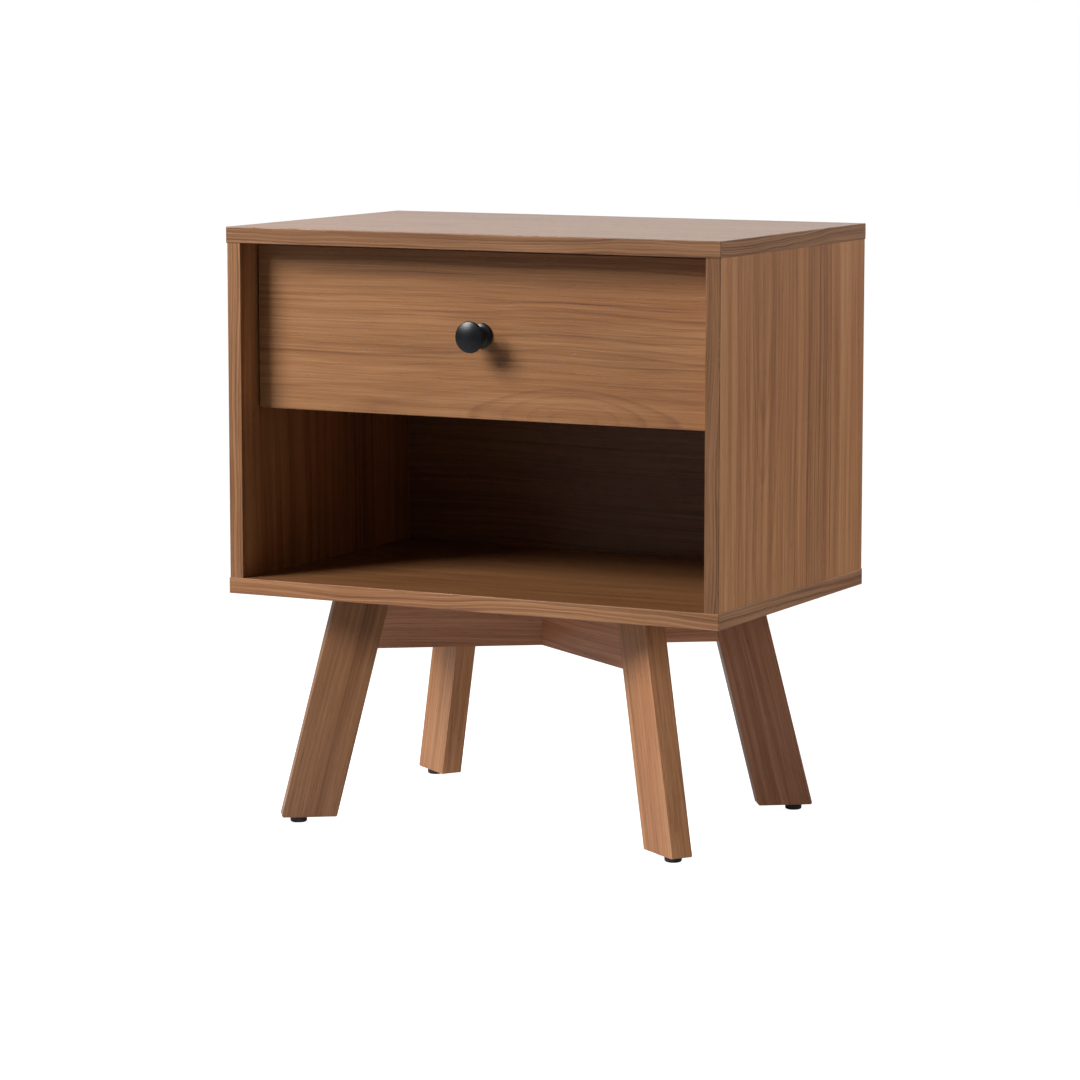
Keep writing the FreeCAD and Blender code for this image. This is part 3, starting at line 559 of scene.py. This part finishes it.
def rail_board(node, sign, seed):
    """Grain runs along the rail; the face is the flat of the board."""
    angle = rail_angle()
    along = (math.cos(angle), sign * math.sin(angle), 0.0)
    face = (sign * math.sin(angle), -math.cos(angle), 0.0)
    # The rails' brightness of 1.5 and bluish tint are painted light: they lift the rails, which stand in
    # shade under the cabinet, to a paler tone than the legs' walnut.
    return {"origin": tuple(middle(node)), "turn": turn_from(along, face), "heart_across": 0.1,
            "heart_slope": 0.05, "ring": 0.006, "seed": seed, "figure": 0.7,
            "brightness": 1.5, "tint": (1.03, 1.0, 1.3)}


# ---- Sizes and colours a user would change ------------------------------------------------------
class NightstandWood(bpy.types.PropertyGroup):
    """Colours and gloss of the walnut."""
    pale: FloatVectorProperty(name="Pale wood", description="Lightest streaks of the walnut", subtype="COLOR",
                              size=3, min=0.0, max=1.0, default=(0.385, 0.192, 0.086))
    body: FloatVectorProperty(name="Body colour", description="Main colour of the walnut", subtype="COLOR",
                              size=3, min=0.0, max=1.0, default=(0.272, 0.121, 0.046))
    dark: FloatVectorProperty(name="Dark streaks", description="Darker growth lines", subtype="COLOR",
                              size=3, min=0.0, max=1.0, default=(0.166, 0.0665, 0.0255))
    vein: FloatVectorProperty(name="Veins", description="Darkest thin veins and open pores",
                              subtype="COLOR", size=3, min=0.0, max=1.0, default=(0.098, 0.036, 0.015))
    roughness: FloatProperty(name="Roughness", description="How matt the lacquer is", subtype="FACTOR",
                             min=0.05, max=1.0, default=0.36)
    gloss: FloatProperty(name="Gloss", description="Strength of the lacquer's reflection", subtype="FACTOR",
                         min=0.0, max=1.0, default=0.5)


class NightstandMetal(bpy.types.PropertyGroup):
    """Finish of the knob and the zinc-plated fittings, and the rounding of the legs and rails."""
    knob: FloatVectorProperty(name="Knob colour", description="Lacquer on the drawer's knob", subtype="COLOR",
                              size=3, min=0.0, max=1.0, default=(0.0065, 0.007, 0.0085))
    knob_roughness: FloatProperty(name="Knob roughness", description="How matt the knob is", subtype="FACTOR",
                                  min=0.05, max=1.0, default=0.31)
    zinc: FloatVectorProperty(name="Zinc colour", description="Plating of the slides and screws",
                              subtype="COLOR", size=3, min=0.0, max=1.0, default=(0.60, 0.61, 0.60))
    rounding: FloatProperty(name="Edge rounding", description="Rounding of the legs' and rails' edges",
                            subtype="DISTANCE", unit="LENGTH", min=0.0002, max=0.003, default=0.0009)


class NightstandStage(bpy.types.PropertyGroup):
    """Floor, lights and camera."""
    key_power: FloatProperty(name="Key light", description="Power of the light at the front left",
                             subtype="POWER", unit="POWER", min=0.0, default=121.0)
    side_power: FloatProperty(name="Side light", description="Power of the soft light on the right",
                              subtype="POWER", unit="POWER", min=0.0, default=36.0)
    sky_front: FloatProperty(name="Sky in front", description="Brightness of the surroundings in front",
                             min=0.0, default=0.11)
    sky_back: FloatProperty(name="Sky behind", description="Brightness of the surroundings behind",
                            min=0.0, default=1.05)
    floor: FloatVectorProperty(name="Floor", description="Colour of the floor", subtype="COLOR",
                               size=3, min=0.0, max=1.0, default=(0.6, 0.6, 0.6))
    floor_far: FloatVectorProperty(name="Far floor",
                                   description="Colour of the floor away from the nightstand",
                                   subtype="COLOR", size=3, min=0.0, max=1.0, default=(0.2, 0.2, 0.2))
    floor_glow: FloatProperty(name="Floor glow", description="How white the floor looks",
                              min=0.0, default=0.9)
    azimuth: FloatProperty(name="Camera azimuth", description="Turn of the camera round the nightstand",
                           subtype="ANGLE", unit="ROTATION", default=math.radians(27.27))
    elevation: FloatProperty(name="Camera elevation", description="Height angle of the camera",
                             subtype="ANGLE", unit="ROTATION", default=math.radians(7.65))
    distance: FloatProperty(name="Camera distance", description="Camera to the nightstand",
                            subtype="DISTANCE", unit="LENGTH", min=0.5, default=4.053)
    lens: FloatProperty(name="Lens", description="Focal length in millimetres", min=10.0, default=133.85)
    aim: FloatVectorProperty(name="Aim", description="Point the camera looks at", subtype="XYZ",
                             unit="LENGTH", size=3, default=(-0.0072, -0.0037, 0.2824))


# ---- Operators ----------------------------------------------------------------------------------
class NIGHTSTAND_OT_cabinet(bpy.types.Operator):
    """Veneers the top, bottom, sides and back of the cabinet"""
    bl_idname = "nightstand.cabinet"
    bl_label = "Cabinet panels"

    def execute(self, context):
        dress("top_panel", wood("walnut_top", top_board()))
        dress("bottom_panel", wood("walnut_bottom", bottom_board()))
        dress("right_side_panel", wood("walnut_right_side", side_board(1)))
        dress("left_side_panel", wood("walnut_left_side", side_board(-1)))
        dress("back_panel", wood("walnut_back", back_board()))
        return {"FINISHED"}


class NIGHTSTAND_OT_edge_strips(bpy.types.Operator):
    """Makes the thin veneer strips on the panels' edges, with rounded outer corners"""
    bl_idname = "nightstand.edge_strips"
    bl_label = "Edge strips"

    def execute(self, context):
        # The top strips' brightness of 0.8 and the bottom strips' 1.0 make lit and shaded copies of one
        # veneer: they carry painted light and shade besides the veneer's own tone.
        for panel, seed, brightness in (("top_panel", 21.0, 0.8), ("bottom_panel", 27.0, 1.0)):
            self.level_strips(panel + "_edge_strips", panel, seed, brightness)
        for side, sign in (("left", -1), ("right", 1)):
            self.upright_strip(side + "_side_edge_strip", sign)
        self.drawer_strips()
        return {"FINISHED"}

    def level_strips(self, node, panel, seed, brightness):
        low, high = (Vector(corner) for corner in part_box(node))
        core_low, core_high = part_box(panel)
        grain = strip_board((0.0, low.y, low.z), (1, 0, 0), (0, -1, 0), seed, brightness)
        front = wood(node + "_front", grain)
        grain = strip_board((high.x, 0.0, low.z), (0, 1, 0), (1, 0, 0), seed + 3.0)
        end = wood(node + "_end", grain)

        def make(work):
            add_bar(work, low, (high.x, core_low[1], high.z), ("yz", "yZ", "xy", "Xy"))
            add_bar(work, (core_high[0], core_low[1], low.z), high, ("Xz", "XZ"), 1)
            add_bar(work, (low.x, core_low[1], low.z), (core_low[0], high.y, high.z), ("xz", "xZ"), 1)

        new_piece(node + "_veneer", make, [front, end], "cabinet", [node])

    def upright_strip(self, node, sign):
        low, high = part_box(node)
        origin = (low[0] if sign > 0 else high[0], low[1], low[2])
        # The right strip's brightness of 0.7 against the left's 0.84 is painted shade on the side that faces
        # away from the key light.
        brightness = 0.7 if sign > 0 else 0.84
        grain = strip_board(origin, (0, 0, 1), (0, -1, 0), 33.0 + sign, brightness)
        veneer = wood(node + "_walnut", grain)

        def make(work):
            add_bar(work, low, high, ("xy", "Xy"))

        new_piece(node + "_veneer", make, [veneer], "cabinet", [node])

    def drawer_strips(self):
        node = "drawer_front_edge_strips"
        low, high = (Vector(corner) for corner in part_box(node))
        core_low, core_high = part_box("drawer_front")
        level = wood(node + "_level", strip_board((0.0, low.y, low.z), (1, 0, 0), (0, 0, 1), 41.0))
        upright = wood(node + "_upright", strip_board((low.x, low.y, low.z), (0, 0, 1), (1, 0, 0), 43.0))

        def make(work):
            add_bar(work, low, (high.x, high.y, core_low[2]), ("yz", "xz", "Xz"))
            add_bar(work, (low.x, low.y, core_high[2]), high, ("yZ", "xZ", "XZ"))
            for left, right, edge in ((low.x, core_low[0], "xy"), (core_high[0], high.x, "Xy")):
                add_bar(work, (left, low.y, core_low[2]), (right, high.y, core_high[2]), (edge,), 1)

        new_piece(node + "_veneer", make, [level, upright], "drawer", [node])


class NIGHTSTAND_OT_drawer(bpy.types.Operator):
    """Veneers the drawer front and gives the drawer box its plywood"""
    bl_idname = "nightstand.drawer"
    bl_label = "Drawer"

    def execute(self, context):
        dress("drawer_front", wood("walnut_drawer_front", drawer_board()))
        for node, along, face in (("drawer_box_front", (1, 0, 0), (0, 1, 0)),
                                  ("drawer_box_back", (1, 0, 0), (0, 1, 0)),
                                  ("drawer_box_left_side", (0, 1, 0), (1, 0, 0)),
                                  ("drawer_box_right_side", (0, 1, 0), (1, 0, 0)),
                                  ("drawer_bottom", (1, 0, 0), (0, 0, 1))):
            corner = tuple(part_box(node)[0])
            dress(node, plywood(node + "_birch", corner, turn_from(along, face)))
        return {"FINISHED"}


class NIGHTSTAND_OT_knob(bpy.types.Operator):
    """Turns the drawer's knob in satin black"""
    bl_idname = "nightstand.knob"
    bl_label = "Knob"

    def execute(self, context):
        low, high = (Vector(corner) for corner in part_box("drawer_knob"))
        radius = (high.x - low.x) / 2.0
        length = high.y - low.y
        centre = (low + high) / 2.0
        place = Matrix.Translation((centre.x, high.y, centre.z)) @ Matrix.Rotation(math.pi / 2.0, 4, "X")
        profile = self.profile(radius, length)
        style = context.scene.nightstand_metal
        black = metal("black_knob_lacquer", style.knob, style.knob_roughness, metallic=0.0, gloss=0.36)

        def make(work):
            add_lathe(work, profile, place, 64)

        new_piece("drawer_knob_turned", make, [black], "drawer", ["drawer_knob"])
        return {"FINISHED"}

    @staticmethod
    def profile(radius, length):
        """Flanged foot, waisted neck, underside of the head, rounded rim and shallow crown."""
        foot, neck = KNOB_FOOT, KNOB_NECK
        points = [(0.0, 0.0), (foot - 0.15 * MM, 0.0), (foot, 0.3 * MM), (foot, 1.0 * MM)]
        points += arc(foot - KNOB_ROLL, 1.0 * MM, KNOB_ROLL, 0.0, 80.0, 6)[1:]
        points += [(foot - 3.4 * MM, 3.0 * MM), (neck + 1.2 * MM, 4.4 * MM), (neck + 0.4 * MM, 6.2 * MM),
                   (neck, 8.5 * MM), (neck, 13.5 * MM), (neck + 0.7 * MM, 16.0 * MM),
                   (neck + 2.4 * MM, 18.6 * MM), (radius - 4.4 * MM, 21.0 * MM),
                   (radius - 2.0 * MM, 22.2 * MM)]
        points += arc(radius - KNOB_ROLL, KNOB_RIM_HEIGHT, KNOB_ROLL, -60.0, 62.0, 10)
        rim_radius, rim_height = points[-1]
        drop = length - rim_height
        sphere = (rim_radius ** 2 + drop ** 2) / (2.0 * drop)
        for step in range(1, CROWN_STEPS + 1):
            out = rim_radius * (1.0 - step / CROWN_STEPS)
            points.append((out, length - sphere + math.sqrt(sphere ** 2 - out ** 2)))
        return points


class NIGHTSTAND_OT_base(bpy.types.Operator):
    """Gives the legs and the crossing rails their solid walnut and rounded edges"""
    bl_idname = "nightstand.base"
    bl_label = "Legs and rails"

    def execute(self, context):
        rounding = context.scene.nightstand_metal.rounding
        # Each leg's brightness and tint are painted light and shade on one walnut: the front-right and
        # back-left legs, where the light falls, are made lighter; the front-left and back-right legs are made
        # darker; and the back-right leg, in the cabinet's shade, is also made redder.
        legs = (("leg_front_left", -1, -1, 51.0, 0.96, (1.0, 1.0, 1.1)),
                ("leg_front_right", 1, -1, 55.5, 1.27, (1.0, 1.0, 1.1)),
                ("leg_back_left", -1, 1, 60.0, 1.3, (1.0, 1.0, 1.05)),
                ("leg_back_right", 1, 1, 64.5, 0.96, (1.02, 0.94, 1.16)))
        for node, *board in legs:
            dress(node, wood(node + "_walnut", leg_board(node, *board)))
            round_over(node, rounding)
        for node, sign, seed in (("cross_rail_lower_lap", 1, 71.0), ("cross_rail_upper_lap", -1, 75.0)):
            dress(node, wood(node + "_walnut", rail_board(node, sign, seed)))
            round_over(node, rounding)
        return {"FINISHED"}


class NIGHTSTAND_OT_feet(bpy.types.Operator):
    """Moulds the four black glides under the legs"""
    bl_idname = "nightstand.feet"
    bl_label = "Glides"

    def execute(self, context):
        low, high = (Vector(corner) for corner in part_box("foot_glides"))
        height, radius = high.z, GLIDE_RADIUS
        black = plastic("black_glide_plastic", (0.018, 0.018, 0.018), 0.5)
        profile = [(0.0, 0.0), (radius - 2.4 * MM, 0.0)]
        profile += arc(radius - GLIDE_ROUNDING, GLIDE_ROUNDING, GLIDE_ROUNDING, -90.0, 0.0, 6)
        profile += [(radius, height - 1.0 * MM), (radius - 0.3 * MM, height), (0.0, height)]

        def make(work):
            for x in (low.x + radius, high.x - radius):
                for y in (low.y + radius, high.y - radius):
                    add_lathe(work, profile, Matrix.Translation((x, y, 0.0)), 40)

        new_piece("glides_moulded", make, [black], "cabinet", ["foot_glides"])
        return {"FINISHED"}


class NIGHTSTAND_OT_hardware(bpy.types.Operator):
    """Plates the slides and the fasteners"""
    bl_idname = "nightstand.hardware"
    bl_label = "Slides and fasteners"

    def execute(self, context):
        zinc = context.scene.nightstand_metal.zinc
        plated = metal("zinc_plate", zinc, 0.34, brushed=0.35)
        screws = metal("screw_plate", shade(zinc, 1.02), 0.3)
        balls = metal("polished_ball_steel", (0.75, 0.75, 0.76), 0.12)
        cages = metal("cage_steel", shade(zinc, 0.8), 0.4, brushed=0.2)
        brass = metal("insert_brass", (0.62, 0.43, 0.17), 0.33)
        cast = metal("cast_zinc", shade(zinc, 0.72), 0.45)
        beech = plywood("beech_dowels", (0.0, 0.0, 0.0), GRAIN_UPRIGHT, 1.0)
        chosen = {"slide_steel": plated, "screw_steel": screws, "ball_steel": balls, "cage_steel": cages,
                  "insert_brass": brass, "cast_zinc": cast, "beech_dowel": beech}
        for part in frame["record"]["subparts"]:
            material = chosen.get(part["material_slot"])
            if material:
                dress(part["node"], material)
        return {"FINISHED"}


class NIGHTSTAND_OT_stage(bpy.types.Operator):
    """Sets the floor, the lights, the sky and the camera"""
    bl_idname = "nightstand.stage"
    bl_label = "Stage"

    def execute(self, context):
        stage = context.scene.nightstand_stage
        context.scene.view_settings.view_transform = "Standard"
        self.floor(stage)
        self.sky(context.scene, stage)
        self.lamp("key_light", KEY_FROM, KEY_DISTANCE, stage.key_power, KEY_SIZE)
        self.lamp("side_light", SIDE_FROM, SIDE_DISTANCE, stage.side_power, SIDE_SIZE, mirrored=False)
        self.camera(context.scene, stage)
        return {"FINISHED"}

    @staticmethod
    def floor(stage):
        """Glows white where it is seen directly, and throws back only a little light on the wood."""
        work = bmesh.new()
        bmesh.ops.create_grid(work, x_segments=8, y_segments=8, size=FLOOR_HALF_WIDTH)
        mesh = bpy.data.meshes.new("floor")
        work.to_mesh(mesh)
        work.free()
        finish = Finish("pale_floor")
        x, y, z = finish.place((0.0, 0.0, 0.0), (0.0, 0.0, 0.0))
        mottle = finish.noise(x * 3.0, y * 3.0, z, 2.0) * 0.1
        away = (x * x + y * y) ** 0.5
        share = away.rise(*FLOOR_FADE) * 0.9 + mottle
        finish.set(Base_Color=finish.blend(share, stage.floor, stage.floor_far), Roughness=0.8)
        glow = finish.node("ShaderNodeEmission", None, {"Color": WHITE, "Strength": stage.floor_glow})
        seen = finish.node("ShaderNodeLightPath", output="Is Camera Ray")
        both = finish.node("ShaderNodeAddShader", None, {0: finish.surface(), 1: glow})
        finish.show(finish.node("ShaderNodeMixShader", None, {0: seen, 1: finish.surface(), 2: both}))
        mesh.materials.append(finish.material)
        floor = bpy.data.objects.new("floor", mesh)
        bpy.context.scene.collection.objects.link(floor)

    @staticmethod
    def sky(scene, stage):
        """Bright behind the nightstand on its left and dim elsewhere; white where it is seen directly."""
        world = bpy.data.worlds.new("studio_sky")
        nodes = Nodes(world, "ShaderNodeOutputWorld")
        place = nodes.node("ShaderNodeTexCoord", output="Generated")
        bright_side = Vector(SKY_BRIGHT_SIDE).normalized()
        toward = nodes.node("ShaderNodeVectorMath", {"operation": "DOT_PRODUCT"},
                            {0: place, 1: bright_side}, output="Value")
        inputs = {"Value": toward, "From Min": SKY_FADE[0], "From Max": SKY_FADE[1],
                  "To Min": stage.sky_front, "To Max": stage.sky_back}
        fade = nodes.node("ShaderNodeMapRange", {"interpolation_type": "SMOOTHSTEP"}, inputs)
        glow = nodes.node("ShaderNodeBackground", None, {"Color": WHITE, "Strength": fade})
        plain = nodes.node("ShaderNodeBackground", None, {"Color": WHITE})
        seen = nodes.node("ShaderNodeLightPath", output="Is Camera Ray")
        nodes.show(nodes.node("ShaderNodeMixShader", None, {0: seen, 1: glow, 2: plain}))
        scene.world = world

    @staticmethod
    def lamp(name, direction, distance, power, size, mirrored=True):
        light = bpy.data.lights.new(name, "AREA")
        light.energy = power
        light.size = size
        lamp = bpy.data.objects.new(name, light)
        target = Vector(LIGHT_AIM)
        lamp.location = target + Vector(direction).normalized() * distance
        lamp.rotation_euler = (lamp.location - target).to_track_quat("Z", "Y").to_euler()
        lamp.visible_glossy = mirrored
        bpy.context.scene.collection.objects.link(lamp)

    @staticmethod
    def camera(scene, stage):
        azimuth, elevation = stage.azimuth, stage.elevation
        ahead = Vector((-math.sin(azimuth) * math.cos(elevation), math.cos(azimuth) * math.cos(elevation),
                        -math.sin(elevation)))
        lens = bpy.data.cameras.new("studio_camera")
        lens.lens = stage.lens
        lens.sensor_width = SENSOR_WIDTH
        camera = bpy.data.objects.new("studio_camera", lens)
        camera.location = Vector(stage.aim) - ahead * stage.distance
        camera.rotation_euler = ahead.to_track_quat("-Z", "Y").to_euler()
        scene.collection.objects.link(camera)
        scene.camera = camera


class NIGHTSTAND_PT_panel(bpy.types.Panel):
    """Sidebar panel with the nightstand's steps and settings"""
    bl_idname = "NIGHTSTAND_PT_panel"
    bl_label = "Nightstand"
    bl_space_type = "VIEW_3D"
    bl_region_type = "UI"
    bl_category = "Nightstand"

    def draw(self, context):
        for step in STEPS:
            self.layout.operator(step.bl_idname)
        for group in ("nightstand_wood", "nightstand_metal", "nightstand_stage"):
            settings = getattr(context.scene, group)
            for key in settings.__annotations__:
                self.layout.prop(settings, key)


STEPS = (NIGHTSTAND_OT_cabinet, NIGHTSTAND_OT_edge_strips, NIGHTSTAND_OT_drawer, NIGHTSTAND_OT_knob,
         NIGHTSTAND_OT_base, NIGHTSTAND_OT_feet, NIGHTSTAND_OT_hardware, NIGHTSTAND_OT_stage)
SETTINGS = (("nightstand_wood", NightstandWood), ("nightstand_metal", NightstandMetal),
            ("nightstand_stage", NightstandStage))


def register():
    for name, group in SETTINGS:
        bpy.utils.register_class(group)
        setattr(bpy.types.Scene, name, PointerProperty(type=group))
    for step in STEPS:
        bpy.utils.register_class(step)
    bpy.utils.register_class(NIGHTSTAND_PT_panel)


def unregister():
    bpy.utils.unregister_class(NIGHTSTAND_PT_panel)
    for step in reversed(STEPS):
        bpy.utils.unregister_class(step)
    for name, group in reversed(SETTINGS):
        delattr(bpy.types.Scene, name)
        bpy.utils.unregister_class(group)


def main():
    register()
    for step in STEPS:
        family, verb = step.bl_idname.split(".")
        getattr(getattr(bpy.ops, family), verb)()


if __name__ == "__main__":
    main()
